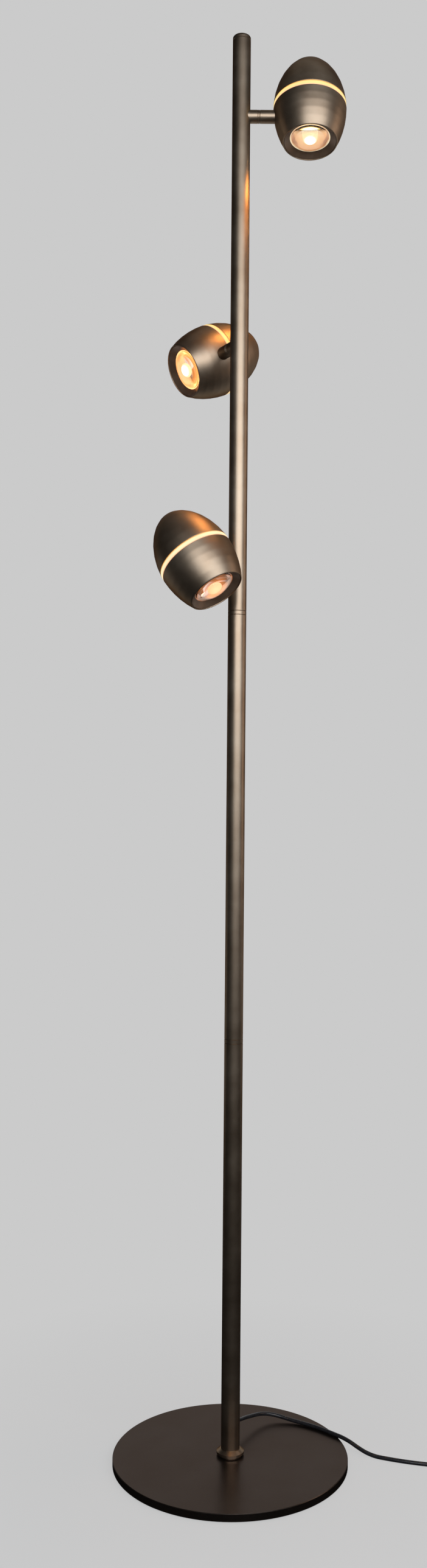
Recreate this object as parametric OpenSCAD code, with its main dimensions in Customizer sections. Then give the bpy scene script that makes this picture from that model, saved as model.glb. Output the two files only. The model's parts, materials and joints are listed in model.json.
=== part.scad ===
// Free-standing floor lamp: a round base, a pole in three lengths and three egg-shaped spot heads
// that swivel on short arms. Millimetres, +Z up. The origin is the centre of the underside, on the
// floor. Each arm points straight out from the pole, and each head turns about its own arm.

/* [Base] */
// Diameter of the base plate
base_d = 250; // [200:5:300]
// Thickness of the base plate
base_thick = 8; // [7:0.5:12]
// Thickness of the soft pad under the plate
pad_thick = 1.2; // [0.8:0.1:3]
// Distance from the rim of the plate to the pad
pad_inset = 5; // [2:0.5:20]
// Bevel along both edges of the plate
base_bevel = 0.6; // [0.3:0.1:1.5]

/* [Foot of the pole] */
// Height of the collar round the pole
collar_h = 7; // [5:0.5:12]
// Largest diameter of the collar
collar_d = 29; // [27:0.5:36]
// Height of the undercut step at the bottom of the collar
collar_step_h = 1.8; // [1:0.1:2.4]
// Height of the straight rim of the collar
collar_rim_h = 2.4; // [1:0.1:2.6]
// Depth of the undercut step
collar_step = 2; // [0.5:0.1:2.5]
// Thread diameter of the bolt that holds the pole to the plate
foot_bolt_d = 8; // [6:0.5:10]
// Diameter of the flange under the bolt
foot_flange_d = 19; // [16:0.5:22]
// Thickness of that flange
foot_flange_thick = 1.6; // [1:0.1:2]
// Height of the bolt's hexagon
foot_hex_h = 2.2; // [1.5:0.1:2.6]
// Depth of the pocket for the bolt in the underside of the plate
foot_pocket_depth = 4.4; // [4.2:0.1:5]
// Length of the threaded plug inside the foot of the pole
foot_plug_len = 15; // [12:0.5:16]

/* [Pole] */
// Outer diameter of the pole
pole_d = 20; // [19:0.5:24]
// Wall of the pole tubes
pole_wall = 1.2; // [0.8:0.1:1.6]
// Length of the lower tube
lower_tube_len = 435; // [350:1:520]
// Length of the middle tube
middle_tube_len = 458; // [380:1:540]
// Length of the upper tube
upper_tube_len = 634; // [560:1:760]
// Height of the ring that shows between two tubes
joint_ring_h = 4.4; // [3:0.1:8]
// Depth of the groove where two pieces of the pole meet
pole_groove = 0.35; // [0.2:0.05:0.6]
// Length of a joiner's spigot inside each tube
spigot_len = 22; // [15:1:28]
// Visible height of the cap on the pole
cap_h = 5; // [4:0.5:10]
// Radius of the cap's upper edge
cap_edge_r = 2.5; // [1:0.1:3.5]
// Length of the cap's spigot inside the tube
cap_spigot_len = 10; // [6:1:20]

/* [Arms] */
// Distance from the top of the lamp down to the top arm
top_arm_drop = 90; // [70:1:100]
// Distance from the bottom arm up to the middle arm
middle_arm_rise = 259; // [180:1:270]
// Distance from the lower end of the upper tube up to the bottom arm
bottom_arm_rise = 36; // [35:1:60]
// Direction of the top arm, measured round the pole from +X
top_arm_angle = 0; // [-40:5:40]
// Angle from one arm to the next
arm_step_angle = 120; // [100:5:130]
// Diameter of the arms
arm_d = 14; // [13.5:0.1:15]
// Length of an arm between the pole and the head
arm_len = 26; // [24:0.5:40]
// Length of the fixed stub on the pole
stub_len = 8.3; // [5:0.1:10]
// Width of the ring between the fixed stub and the turning stub
swivel_ring_w = 2.1; // [1.5:0.1:3.5]
// Depth of the grooves on both sides of that ring
arm_groove = 0.35; // [0.2:0.05:0.5]
// Diameter of the hollow swivel bolt
swivel_bolt_d = 8; // [7.5:0.1:8.4]
// Bore of that bolt, for the lead
swivel_bore_d = 4.2; // [3.9:0.1:5]
// Diameter of the bolt's head
swivel_head_d = 9.8; // [9.4:0.1:10]
// Width of the bolt's head
swivel_head_w = 3; // [2:0.1:4]
// Thickness of the web that the bolt's head holds
swivel_web = 5.4; // [4:0.1:7]
// Diameter of the threaded end that enters the head
arm_thread_d = 12.6; // [12.3:0.1:12.8]
// Depth of that end below the skin of the head
arm_thread_len = 6; // [4.5:0.1:8]
// Aim of the top head, turned about its arm from straight down
top_aim = -12; // [-150:1:150]
// Aim of the middle head, turned about its arm from straight down
middle_aim = 64; // [-150:1:150]
// Aim of the bottom head, turned about its arm from straight down
bottom_aim = 36; // [-150:1:150]

/* [Shells of the heads] */
// Largest diameter of a head
head_d = 81; // [77:0.5:95]
// Length of a head along its optical axis
head_len = 104; // [96:1:125]
// Distance from the mouth to the widest place
widest_at = 42.5; // [40:0.5:50]
// Outer diameter of the mouth
mouth_d = 60; // [58:0.5:64]
// Roundness of the front, 2 being an ellipse
front_power = 1.9; // [1.7:0.05:2.2]
// Roundness of the rear, 2 being an ellipse
rear_power = 1.87; // [1.7:0.05:2.2]
// Number of turned bands on the front shell
front_bands = 5; // [4:1:9]
// Number of turned bands on the rear shell
rear_bands = 8; // [6:1:14]
// Wall of the shells
shell_wall = 2.2; // [1.6:0.1:3]
// Distance from the mouth to the arm's axis
arm_at = 32.5; // [32:0.1:33.5]
// Distance from the mouth to the glowing ring
ring_at = 41.7; // [40.8:0.1:42]
// Width of the glowing ring
ring_w = 5.8; // [5:0.1:10]
// How far the ring lies below the skin of the shells
ring_inset = 0.3; // [0.1:0.1:1]
// Radial thickness of the glowing ring
ring_depth = 8; // [4:0.5:10]

/* [Optics and core] */
// Width of the lip round the mouth
lip_w = 1; // [0.8:0.1:1.6]
// Depth of the cone insert behind the mouth
insert_depth = 10; // [9.5:0.1:12]
// How far the cone insert is set back from the mouth
insert_set_back = 0.8; // [0.3:0.1:1.5]
// Depth of the lens's edge behind the mouth
lens_at = 5.8; // [4:0.1:6.5]
// Clear diameter of the cone where the lens shows
lens_window_d = 44.4; // [40:0.1:46]
// Height of the lens's dome
dome_h = 7.5; // [5:0.1:10]
// Thickness of the lens's edge
lens_edge = 2; // [1.5:0.1:3]
// Distance from the mouth to the face of the circuit board
board_at = 14; // [14:0.1:16]
// Diameter of the circuit board
board_d = 34; // [33:0.5:36]
// Thickness of the circuit board
board_thick = 1.6; // [1:0.1:1.6]
// Diameter of the domed light source, which stands on the board
emitter_d = 14; // [8:0.5:14]
// How far the light source's dome stands inside the lens
emitter_rise = 4.2; // [2:0.1:5]
// Gap between the light source and its pocket in the lens
emitter_gap = 0.4; // [0.3:0.1:0.8]
// Thickness of the core's two flanges
flange_thick = 3; // [2:0.1:3.4]
// Thickness of each cooling fin
fin_thick = 2; // [1:0.1:3]
// Number of cooling fins
fin_count = 8; // [4:1:12]
// Length of the cooling fins
fin_len = 18; // [8:0.5:22]

/* [Cord] */
// Diameter of the mains cord
cord_d = 4.2; // [3.6:0.1:4.4]
// Diameter of the lead inside the pole and the arms
lead_d = 3.5; // [2.5:0.1:3.6]
// Height of the cord where it leaves the pole
cord_exit_z = 30; // [30:0.5:30.5]
// Number of turns of the coiled cord
coil_turns = 8.25; // [6.25:1:8.25]
// Radius of the outermost turn
coil_r_out = 36; // [36:0.5:38]
// Distance from one turn to the next
coil_pitch = 4.7; // [4.65:0.05:4.8]
// Length of the foot switch
switch_len = 80; // [70:1:90]
// Width of the foot switch
switch_w = 42; // [38:1:44]
// Height of the foot switch
switch_h = 22; // [18:0.5:26]
// Diameter of the foot button
button_d = 28; // [20:0.5:30]
// Travel of the foot button
button_travel = 2; // [1:0.1:2.5]
// Length of the plug's body
plug_len = 37; // [32:0.5:40]
// Width of the plug at its pins
plug_w = 34; // [30:0.5:36]
// Thickness of the plug
plug_h = 13.6; // [12:0.1:14]
// Diameter of the plug's pins
pin_d = 4; // [3.5:0.1:4.8]
// Length of the plug's pins
pin_len = 19; // [16:0.5:20]
// Distance between the plug's pins
pin_gap = 18.6; // [16:0.1:20]

/* [Hidden] */
// Clearances
fit_gap = 0.05;
loose_gap = 0.1;
running_gap = 0.1;
guide_gap = 0.4;
bolt_hole_gap = 0.3;
button_gap = 0.3;

// Facets of a full circle
$fn = 96;

// Heights along the pole
base_top = pad_thick + base_thick;
lower_tube_top = base_top + lower_tube_len;
middle_tube_z = lower_tube_top + joint_ring_h;
middle_tube_top = middle_tube_z + middle_tube_len;
upper_tube_z = middle_tube_top + joint_ring_h;
upper_tube_top = upper_tube_z + upper_tube_len;
lamp_height = upper_tube_top + cap_h;
pole_r = pole_d / 2;
tube_bore_r = pole_r - pole_wall;
spigot_r = tube_bore_r - fit_gap;
spigot_bevel = 0.5;
pad_w = 28;
lead_hole_r = lead_d / 2 + 0.8;
collar_top_w = 0.8;

// Foot bolt
foot_bolt_r = foot_bolt_d / 2;
foot_pocket_r = foot_flange_d / 2 + 2;
foot_flange_top = pad_thick + foot_pocket_depth;
foot_hex_top = foot_flange_top - foot_flange_thick;
foot_bolt_len = 12;
foot_hex_d = 1.1 * foot_bolt_d + 5;

// Heads and arms, from the top one down
HEAD_NAMES = ["top", "middle", "bottom"];
bottom_arm_z = upper_tube_z + bottom_arm_rise;
arm_heights = [lamp_height - top_arm_drop, bottom_arm_z + middle_arm_rise, bottom_arm_z];
aims = [top_aim, middle_aim, bottom_aim];
function arm_angle(i) = top_arm_angle + i * arm_step_angle;

// Profile of a head: radius at a distance t behind the mouth
head_r = head_d / 2;
mouth_r = mouth_d / 2;
front_cut = pow(1 - pow(mouth_r / head_r, front_power), 1 / front_power);
function front_r(t) =
    head_r * pow(1 - pow((widest_at - t) / widest_at * front_cut, front_power), 1 / front_power);
function dome_r(t, r, len) =
    r * pow(max(0, 1 - pow((t - widest_at) / (len - widest_at), rear_power)), 1 / rear_power);
function head_radius(t) = t < widest_at ? front_r(t) : dome_r(t, head_r, head_len);
function liner_radius(t) = dome_r(t, head_r - shell_wall, head_len - shell_wall);

ring_end = ring_at + ring_w;
function front_station(k) = ring_at * k / front_bands;
function rear_station(k, from, to) = from + (to - from) * sin(90 * k / rear_bands);

// Stations along an arm, measured from the pole's axis
stub_end = pole_r + stub_len;
swivel_ring_end = stub_end + swivel_ring_w;
turning_start = swivel_ring_end + running_gap;
web_end = turning_start + swivel_web;
arm_reach = pole_r + arm_len + head_radius(arm_at);
arm_r = arm_d / 2;
stub_thread_r = swivel_bolt_d / 2 + 0.95;
bolt_start = tube_bore_r + fit_gap;

// Bores and boss inside a head
seat_r = head_radius(ring_at) - shell_wall - 0.7;
seat_depth = flange_thick + 1.2;
core_r = seat_r - loose_gap;
lip_bore_r = mouth_r - lip_w;
mouth_bevel = 0.5;
shoulder_w = 1.5;
arm_thread_r = arm_thread_d / 2;
arm_boss_r = arm_thread_r + 1.6;
arm_boss_in = head_radius(arm_at) - arm_thread_len;
arm_boss_out = head_radius(arm_at - arm_boss_r) - shell_wall / 2;

// Optics
insert_r = lip_bore_r - loose_gap;
insert_mouth_r = insert_r - 0.6;
window_r = lens_window_d / 2;
lens_r = window_r + 0.7;
lens_seat_r = lens_r + loose_gap;
dome_edge_r = window_r - 0.3;
dome_sphere_r = (dome_edge_r * dome_edge_r + dome_h * dome_h) / (2 * dome_h);
dome_steps = 12;
cup_front = lens_at + lens_edge;
cup_rim = 2;
cup_wall = 1.3;
emitter_r = emitter_d / 2;
emitter_top = cup_front - emitter_rise;
cup_small_r = emitter_r + 0.8;
cup_end = board_at - running_gap;
board_r = board_d / 2;
screw_circle_r = board_r - 2.6;
screw_r = 1.25;
screw_head_r = 2.2;
screw_head_h = 1;
cup_neck = cup_end - screw_head_h - 0.3;
screw_len = 7;
hub_start = board_at + board_thick;
tail_hub_r = 12;
tail_hub_len = 10;
notch_floor = 0.5;
fin_r = seat_r - 7.6;

// Route of the cord from the pole over the plate and its rim to the foot switch
cord_r = cord_d / 2;
lead_r = lead_d / 2;
grommet_out = 3;
grommet_flange_out = 1.2;
grommet_lip = 0.6;
grommet_flange_r = cord_r + 3.4;
grommet_hole_r = cord_r + 1.9;
cord_route = [
    [0, 13, 30], [0, 20, 30], [1.5, 29, 29], [5.5, 38.5, 27.5], [11, 47.5, 25],
    [17, 57, 23], [24, 66, 21], [32, 75, 19], [41, 80.5, 17], [51, 81.5, 15],
    [61, 79, 13.3], [71, 75, 12], [80, 70.5, 11.5], [89, 65, 11.4], [98, 58.5, 11.4],
    [106.5, 51, 11.4], [114.5, 43.5, 11.4], [122, 36.5, 11.3], [130, 29.5, 9.8], [138.5, 23, 6.6],
    [147, 17.5, 3.8], [156.5, 12.5, 2.3], [167, 8, 2.2], [178, 4, 2.2], [189, 0.5, 2.2],
    [200.5, -2.5, 2.2], [212, -5, 2.2], [223.5, -7.5, 2.3], [235, -9, 3.2], [245, -10, 4.6],
    [252, -10, 5], [258, -10, 5]];
cord_end = cord_route[len(cord_route) - 1];
switch_y = cord_end[1];
cord_switch_z = cord_end[2];
boot_len = 20;
boot_overlap = 3;
boot_tip = 0.5;
switch_boot_r = 3.8;
plug_boot_r = 3.4;
plug_edge = 3;
plug_tail_w = 14;
switch_from_x = cord_end[0] + boot_len;
switch_to_x = switch_from_x + switch_len;

// Route of the cord on from the switch to the coil, measured from the tip of the switch's boot
tail_start = [switch_to_x + boot_len, switch_y, cord_switch_z];
tail_steps = [
    [0, 0, 0], [6, 0, 0], [13.5, 1.5, -0.5], [20, 5.5, -1.1], [24.8, 10.5, -1.6],
    [27.8, 17, -2], [29, 24.5, -2.2], [29, 35, -2.2], [29, 46, -2.2], [29, 58, -2.2]];
tail_route = [for (step = tail_steps) tail_start + step];
switch_corner_r = 12;
switch_edge = 3;
switch_slab_h = 0.5;
button_hole_r = button_d / 2 + button_gap;
button_top = switch_h + 3;
button_bottom = 8;
button_edge = 1.5;
cord_sides = 10;

// Coil: the turns run in on the lower layer and out again on the upper one
coil_start = tail_route[len(tail_route) - 1];
coil_lead_in = 6;
coil_lead_out = 18;
coil_centre = [coil_start[0] - coil_r_out, coil_start[1] + coil_lead_in];
coil_z = coil_start[2];
coil_rise = coil_pitch;
coil_half = coil_turns / 2;
coil_r_in = coil_r_out - coil_pitch * coil_half;
coil_rings = 24;
coil_sides = 6;
function climb(x) = (1 - cos(180 * min(1, max(0, x)))) / 2;
function coil_radius(u) = coil_r_in + coil_pitch * abs(u - coil_half);
function coil_point(u) = [
    coil_centre[0] + coil_radius(u) * cos(360 * u),
    coil_centre[1] + coil_radius(u) * sin(360 * u),
    coil_z + coil_rise * climb((u - coil_half + 0.25) / 0.5)];
coil_steps = coil_rings * coil_turns;
coil_loop = [for (k = [0:coil_steps]) coil_point(k / coil_rings)];
coil_end = coil_loop[len(coil_loop) - 1];
coil_path = concat([coil_start, coil_start + [0, coil_lead_in / 2, 0]], coil_loop,
                   [coil_end - [coil_lead_out - cord_d - 1, 0, 0], coil_end - [coil_lead_out, 0, 0]]);
tie_angle = 225;
tie_w = 12;
tie_thick = 0.6;
tie_gap = 0.1;

// The least gap between two turns of the coil, half a turn or more apart
coil_gap = min([for (i = [0:len(coil_loop) - 1], j = [i + coil_rings / 2:len(coil_loop) - 1])
                norm(coil_loop[i] - coil_loop[j])]) - cord_d;
function run(path, last) = last < 1 ? 0 : norm(path[last] - path[last - 1]) + run(path, last - 1);
coil_length = run(coil_path, len(coil_path) - 1);
cord_length = run(cord_route, len(cord_route) - 1) + run(tail_route, len(tail_route) - 1)
              + switch_len + 2 * boot_len + coil_length;
echo(least_coil_gap = coil_gap, coil_length = coil_length, cord_length = cord_length,
     tightest_turn = coil_r_in, lamp_height = lamp_height, arm_reach = arm_reach);

BASE_PARTS = ["base_plate", "base_pad", "foot_bolt", "foot_plug", "pole_collar", "pole_lower",
              "joiner_lower", "pole_middle", "joiner_upper", "pole_upper", "top_cap", "inner_lead",
              "cord_grommet", "cord", "switch_body", "switch_button", "cord_tail", "cord_coil",
              "coil_tie", "plug", "plug_pins"];
HEAD_PARTS = ["arm_stub", "swivel_ring", "swivel_bolt", "swivel_stub", "front_shell", "front_cone",
              "lens", "lens_holder", "led_board", "board_screws", "heat_sink", "glow_ring",
              "rear_shell"];

bronze = [0.37, 0.33, 0.28];
dark_bronze = [0.2, 0.17, 0.15];
plated = [0.75, 0.75, 0.77];
alloy = [0.62, 0.63, 0.65];
black = [0.05, 0.05, 0.06];

// ---------- shapes used more than once ----------

// A cylinder from one height to another
module rod(r, from, to) translate([0, 0, from]) cylinder(r = r, h = to - from);

// A cylinder along X from one place to another
module bar(r, from, to) translate([from, 0, 0]) rotate([0, 90, 0]) cylinder(r = r, h = to - from);

// A tube swept along a route, each ring square to it, with flat ends
module swept_tube(path, r, sides) {
    n = len(path);
    ahead = [for (i = [0:n - 1]) path[min(n - 1, i + 1)] - path[max(0, i - 1)]];
    side = [for (a = ahead) let (s = cross([0, 0, 1], a)) s / norm(s)];
    up = [for (i = [0:n - 1]) let (u = cross(ahead[i], side[i])) u / norm(u)];
    rings = [for (i = [0:n - 1], k = [0:sides - 1])
             path[i] + r * (cos(360 * k / sides) * side[i] + sin(360 * k / sides) * up[i])];
    walls = [for (i = [0:n - 2], k = [0:sides - 1])
             let (a = i * sides + k, b = i * sides + (k + 1) % sides)
             each [[a, a + sides, b], [b, a + sides, b + sides]]];
    first = [for (k = [1:sides - 2]) [0, k, k + 1]];
    last = [for (k = [1:sides - 2]) [(n - 1) * sides, (n - 1) * sides + k + 1, (n - 1) * sides + k]];
    polyhedron(points = rings, faces = concat(walls, first, last));
}

// Places its children in the frame of an arm: X runs out along the arm from the pole's axis
module at_arm(i) translate([0, 0, arm_heights[i]]) rotate([0, 0, arm_angle(i)]) children();

// Places its children in the frame of a head: the mouth faces -Z, and Z is 0 at the arm's axis
module at_head(i) at_arm(i) translate([arm_reach, 0, 0]) rotate([aims[i], 0, 0]) children();

// Turns an outline of radius and distance behind the mouth about the head's axis
module turned(outline) translate([0, 0, -arm_at]) rotate_extrude() polygon(outline);

// ---------- base and pole ----------

module base_plate() color(dark_bronze) difference() {
    rotate_extrude() polygon([
        [0, pad_thick], [base_d / 2 - base_bevel, pad_thick], [base_d / 2, pad_thick + base_bevel],
        [base_d / 2, base_top - base_bevel], [base_d / 2 - base_bevel, base_top], [0, base_top]]);
    rod(foot_bolt_r + bolt_hole_gap, 0, base_top + 1);
    rod(foot_pocket_r, 0, foot_flange_top);
}

module base_pad() color(black) difference() {
    rod(base_d / 2 - pad_inset, 0, pad_thick);
    rod(base_d / 2 - pad_inset - pad_w, -1, pad_thick + 1);
}

module foot_bolt() color(plated) {
    rod(foot_bolt_r, foot_hex_top, foot_flange_top + foot_bolt_len);
    rod(foot_flange_d / 2, foot_hex_top, foot_flange_top);
    translate([0, 0, foot_hex_top - foot_hex_h])
        cylinder(d = foot_hex_d, h = foot_hex_h + foot_flange_thick / 2, $fn = 6);
}

module foot_plug() color(plated) difference() {
    rod(spigot_r, base_top, base_top + foot_plug_len);
    rod(foot_bolt_r + fit_gap, base_top - 1, foot_flange_top + foot_bolt_len + 1);
}

module pole_collar() color(bronze) difference() {
    translate([0, 0, base_top]) rotate_extrude() polygon([
        [0, 0], [collar_d / 2 - collar_step, 0], [collar_d / 2 - collar_step, collar_step_h],
        [collar_d / 2, collar_step_h], [collar_d / 2, collar_step_h + collar_rim_h],
        [pole_r + collar_top_w, collar_h], [0, collar_h]]);
    rod(pole_r + fit_gap, base_top - 1, base_top + collar_h + 1);
}

// One length of the pole, bevelled at both ends
module pole_tube(from, to) rotate_extrude() polygon([
    [tube_bore_r, from], [pole_r - pole_groove, from], [pole_r, from + pole_groove],
    [pole_r, to - pole_groove], [pole_r - pole_groove, to], [tube_bore_r, to]]);

module pole_lower() color(bronze) difference() {
    pole_tube(base_top, lower_tube_top);
    at_grommet() cylinder(r = grommet_hole_r, h = pole_d);
}

module pole_middle() color(bronze) pole_tube(middle_tube_z, middle_tube_top);

module pole_upper() color(bronze) difference() {
    pole_tube(upper_tube_z, upper_tube_top);
    for (i = [0:2]) at_arm(i) bar(stub_thread_r + fit_gap, 0, pole_d);
}

// A joiner: its ring shows between two tubes, and a spigot fills each tube's end
module joiner(from) color(bronze) difference() {
    rotate_extrude() polygon([
        [0, from - spigot_len], [spigot_r - spigot_bevel, from - spigot_len],
        [spigot_r, from - spigot_len + spigot_bevel], [spigot_r, from],
        [pole_r - pole_groove, from], [pole_r, from + pole_groove],
        [pole_r, from + joint_ring_h - pole_groove], [pole_r - pole_groove, from + joint_ring_h],
        [spigot_r, from + joint_ring_h],
        [spigot_r, from + joint_ring_h + spigot_len - spigot_bevel],
        [spigot_r - spigot_bevel, from + joint_ring_h + spigot_len],
        [0, from + joint_ring_h + spigot_len]]);
    rod(lead_hole_r, from - spigot_len - 1, from + joint_ring_h + spigot_len + 1);
}

module joiner_lower() joiner(lower_tube_top);

module joiner_upper() joiner(middle_tube_top);

module top_cap() color(bronze) rotate_extrude() polygon(concat(
    [[0, upper_tube_top - cap_spigot_len], [spigot_r, upper_tube_top - cap_spigot_len],
     [spigot_r, upper_tube_top], [pole_r - pole_groove, upper_tube_top],
     [pole_r, upper_tube_top + pole_groove]],
    [for (a = [0:15:90]) [pole_r - cap_edge_r + cap_edge_r * cos(a),
                          lamp_height - cap_edge_r + cap_edge_r * sin(a)]],
    [[0, lamp_height]]));

// The lead inside: up the pole from the grommet, with a branch through each arm to its head
module inner_lead() color(black) {
    at_grommet() cylinder(r = lead_r, h = pole_r + grommet_out - loose_gap);
    translate([0, 0, cord_exit_z]) sphere(r = lead_r);
    rod(lead_r, cord_exit_z, arm_heights[0]);
    translate([0, 0, arm_heights[0]]) sphere(r = lead_r);
    for (i = [0:2]) at_arm(i) bar(lead_r, 0, arm_reach - board_r - 3 * loose_gap);
}

// Places its children on the axis of the grommet: Z runs out to the back of the pole
module at_grommet() translate([0, 0, cord_exit_z]) rotate([-90, 0, 0]) children();

module cord_grommet() color(black) difference() {
    union() {
        at_grommet() cylinder(r = grommet_hole_r - fit_gap, h = pole_r + grommet_out);
        difference() {
            at_grommet() cylinder(r = grommet_flange_r, h = pole_r + grommet_flange_out);
            rod(pole_r + fit_gap, 0, 2 * cord_exit_z);
        }
    }
    rod(tube_bore_r - grommet_lip, 0, 2 * cord_exit_z);
    at_grommet() cylinder(r = lead_r + fit_gap, h = pole_d);
}

// ---------- arms, fixed to the pole ----------

module arm_stub() color(bronze) difference() {
    union() {
        difference() {
            rotate([0, 90, 0]) rotate_extrude() polygon([
                [0, 0], [arm_r, 0], [arm_r, stub_end - arm_groove], [arm_r - arm_groove, stub_end],
                [0, stub_end]]);
            rod(pole_r + fit_gap, -arm_d, arm_d);
        }
        bar(stub_thread_r, tube_bore_r, stub_end - 1);
    }
    bar(swivel_bolt_d / 2 + fit_gap, 0, stub_end + 1);
}

module swivel_ring() color(bronze) difference() {
    rotate([0, 90, 0]) rotate_extrude() polygon([
        [0, stub_end], [arm_r - arm_groove, stub_end], [arm_r, stub_end + arm_groove],
        [arm_r, swivel_ring_end - arm_groove], [arm_r - arm_groove, swivel_ring_end],
        [0, swivel_ring_end]]);
    bar(swivel_bolt_d / 2 + fit_gap, stub_end - 1, swivel_ring_end + 1);
}

module swivel_bolt() color(plated) difference() {
    union() {
        bar(swivel_bolt_d / 2, bolt_start, web_end + running_gap + 1);
        bar(swivel_head_d / 2, web_end + running_gap, web_end + running_gap + swivel_head_w);
    }
    bar(swivel_bore_d / 2, 0, web_end + swivel_head_w + 2);
}

// ---------- heads ----------

// The arm's turning stub, in the frame of the head
module swivel_stub() color(bronze) difference() {
    union() {
        difference() {
            translate([-arm_reach, 0, 0]) rotate([0, 90, 0]) rotate_extrude() polygon([
                [0, turning_start], [arm_r - arm_groove, turning_start],
                [arm_r, turning_start + arm_groove], [arm_r, arm_reach - arm_boss_out + 1],
                [0, arm_reach - arm_boss_out + 1]]);
            turned(concat([[0, 0]], [for (k = [0:front_bands])
                           [head_radius(front_station(k)) + fit_gap, front_station(k)]], [[0, ring_at]]));
        }
        bar(arm_thread_r, -head_radius(arm_at) - 2, -arm_boss_in);
    }
    bar(swivel_bolt_d / 2 + fit_gap, -arm_reach, 0);
    bar(swivel_head_d / 2 + guide_gap, web_end - arm_reach, 0);
}

module front_shell() color(bronze) difference() {
    union() {
        turned(concat(
            [[lip_bore_r, 0], [mouth_r - mouth_bevel, 0], [head_radius(mouth_bevel), mouth_bevel]],
            [for (k = [1:front_bands]) [head_radius(front_station(k)), front_station(k)]],
            [[seat_r, ring_at], [seat_r, ring_at - seat_depth],
             [head_radius(ring_at - seat_depth) - shell_wall, ring_at - seat_depth]],
            [for (k = [front_bands - 1:-1:1])
             if (front_station(k) > insert_depth + 3 && front_station(k) < ring_at - seat_depth - 1)
             [head_radius(front_station(k)) - shell_wall, front_station(k)]],
            [[head_radius(insert_depth + 2) - shell_wall, insert_depth + 2],
             [lip_bore_r - shoulder_w, insert_depth + 2], [lip_bore_r - shoulder_w, insert_depth],
             [lip_bore_r, insert_depth]]));
        intersection() {
            bar(arm_boss_r, -arm_boss_out, -arm_boss_in);
            translate([0, 0, -arm_at]) rod(head_r, 0, ring_at);
        }
    }
    bar(arm_thread_r + fit_gap, -head_d, 0);
}

module front_cone() color(bronze) turned([
    [insert_mouth_r, insert_set_back], [insert_r, insert_set_back], [insert_r, insert_depth],
    [lens_seat_r, insert_depth], [lens_seat_r, lens_at], [window_r, lens_at]]);

// The outline of the light source's dome, or of its pocket with a gap all round
function emitter_dome(gap) = [for (a = [0:15:90]) [
    (emitter_r + gap) * sin(a), emitter_top - gap + (emitter_rise + gap) * (1 - cos(a))]];

module lens() color([0.85, 0.9, 0.95, 0.5]) turned(concat(
    emitter_dome(emitter_gap), [[lens_r, cup_front], [lens_r, lens_at]],
    [for (k = [dome_steps:-1:0]) let (a = asin(dome_edge_r / dome_sphere_r) * k / dome_steps)
     [dome_sphere_r * sin(a), lens_at - dome_h + dome_sphere_r * (1 - cos(a))]]));

module lens_holder() color([0.95, 0.75, 0.55]) turned([
    [lens_r - cup_wall, cup_front], [lens_r, cup_front], [lens_r, cup_front + cup_rim],
    [cup_small_r + cup_wall, cup_neck], [cup_small_r + cup_wall, cup_end], [cup_small_r, cup_end],
    [cup_small_r, cup_neck]]);

module led_board() color([0.9, 0.9, 0.85]) difference() {
    union() {
        translate([0, 0, -arm_at]) rod(board_r, board_at, board_at + board_thick);
        turned(concat(emitter_dome(0), [[emitter_r, board_at + board_thick / 2],
                                        [0, board_at + board_thick / 2]]));
    }
    for (side = [-1, 1]) translate([0, side * screw_circle_r, -arm_at])
        rod(screw_r + loose_gap, 0, head_len);
}

module board_screws() color(plated) for (side = [-1, 1])
    translate([0, side * screw_circle_r, -arm_at]) {
        rod(screw_head_r, board_at - screw_head_h, board_at);
        rod(screw_r, board_at - 1, board_at + screw_len);
    }

module heat_sink() color(alloy) difference() {
    union() {
        turned([
            [0, hub_start], [board_r, hub_start], [board_r, ring_at - flange_thick],
            [core_r, ring_at - flange_thick], [core_r, ring_at], [board_r, ring_at],
            [board_r, ring_end], [core_r, ring_end], [core_r, ring_end + flange_thick],
            [tail_hub_r, ring_end + flange_thick], [tail_hub_r, ring_end + flange_thick + tail_hub_len],
            [0, ring_end + flange_thick + tail_hub_len]]);
        for (k = [0:fin_count - 1]) rotate([0, 0, 360 * k / fin_count])
            translate([tail_hub_r - 1, -fin_thick / 2, ring_end + flange_thick - 1 - arm_at])
                cube([fin_r - tail_hub_r + 1, fin_thick, fin_len + 1]);
    }
    bar(arm_boss_r + guide_gap, -head_d, -board_r - notch_floor);
    for (side = [-1, 1]) translate([0, side * screw_circle_r, -arm_at])
        rod(screw_r + fit_gap, hub_start - 1, board_at + screw_len + 0.5);
}

module glow_ring() color([1, 0.85, 0.5]) turned([
    [head_radius(ring_at) - ring_depth, ring_at], [head_radius(ring_at) - ring_inset, ring_at],
    [head_radius(ring_end) - ring_inset, ring_end], [head_radius(ring_at) - ring_depth, ring_end]]);

module rear_shell() color(bronze) turned(concat(
    [for (k = [0:rear_bands - 1]) let (t = rear_station(k, ring_end, head_len)) [head_radius(t), t]],
    [[0, head_len], [0, head_len - shell_wall]],
    [for (k = [rear_bands - 1:-1:0])
     let (t = rear_station(k, ring_end + seat_depth, head_len - shell_wall)) [liner_radius(t), t]],
    [[seat_r, ring_end + seat_depth], [seat_r, ring_end]]));

// ---------- cord, foot switch, coil and plug ----------

module cord() color(black) swept_tube(cord_route, cord_r, cord_sides);

module cord_tail() color(black) swept_tube(tail_route, cord_r, cord_sides);

module cord_coil() color(black) swept_tube(coil_path, cord_r, coil_sides);

// The four corners of the foot switch, drawn in by an inset, at a height
module switch_corners(inset, z) for (sx = [-1, 1], sy = [-1, 1])
    translate([sx * (switch_len / 2 - switch_corner_r), sy * (switch_w / 2 - switch_corner_r), z])
        cylinder(r = switch_corner_r - inset, h = switch_slab_h, $fn = 32);

// A tapered boot round the cord, from its tip to a little inside the body that it is moulded to
module boot(wide_r) rotate([0, 90, 0])
    cylinder(r1 = cord_r + boot_tip, r2 = wide_r, h = boot_len + boot_overlap);

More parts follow.
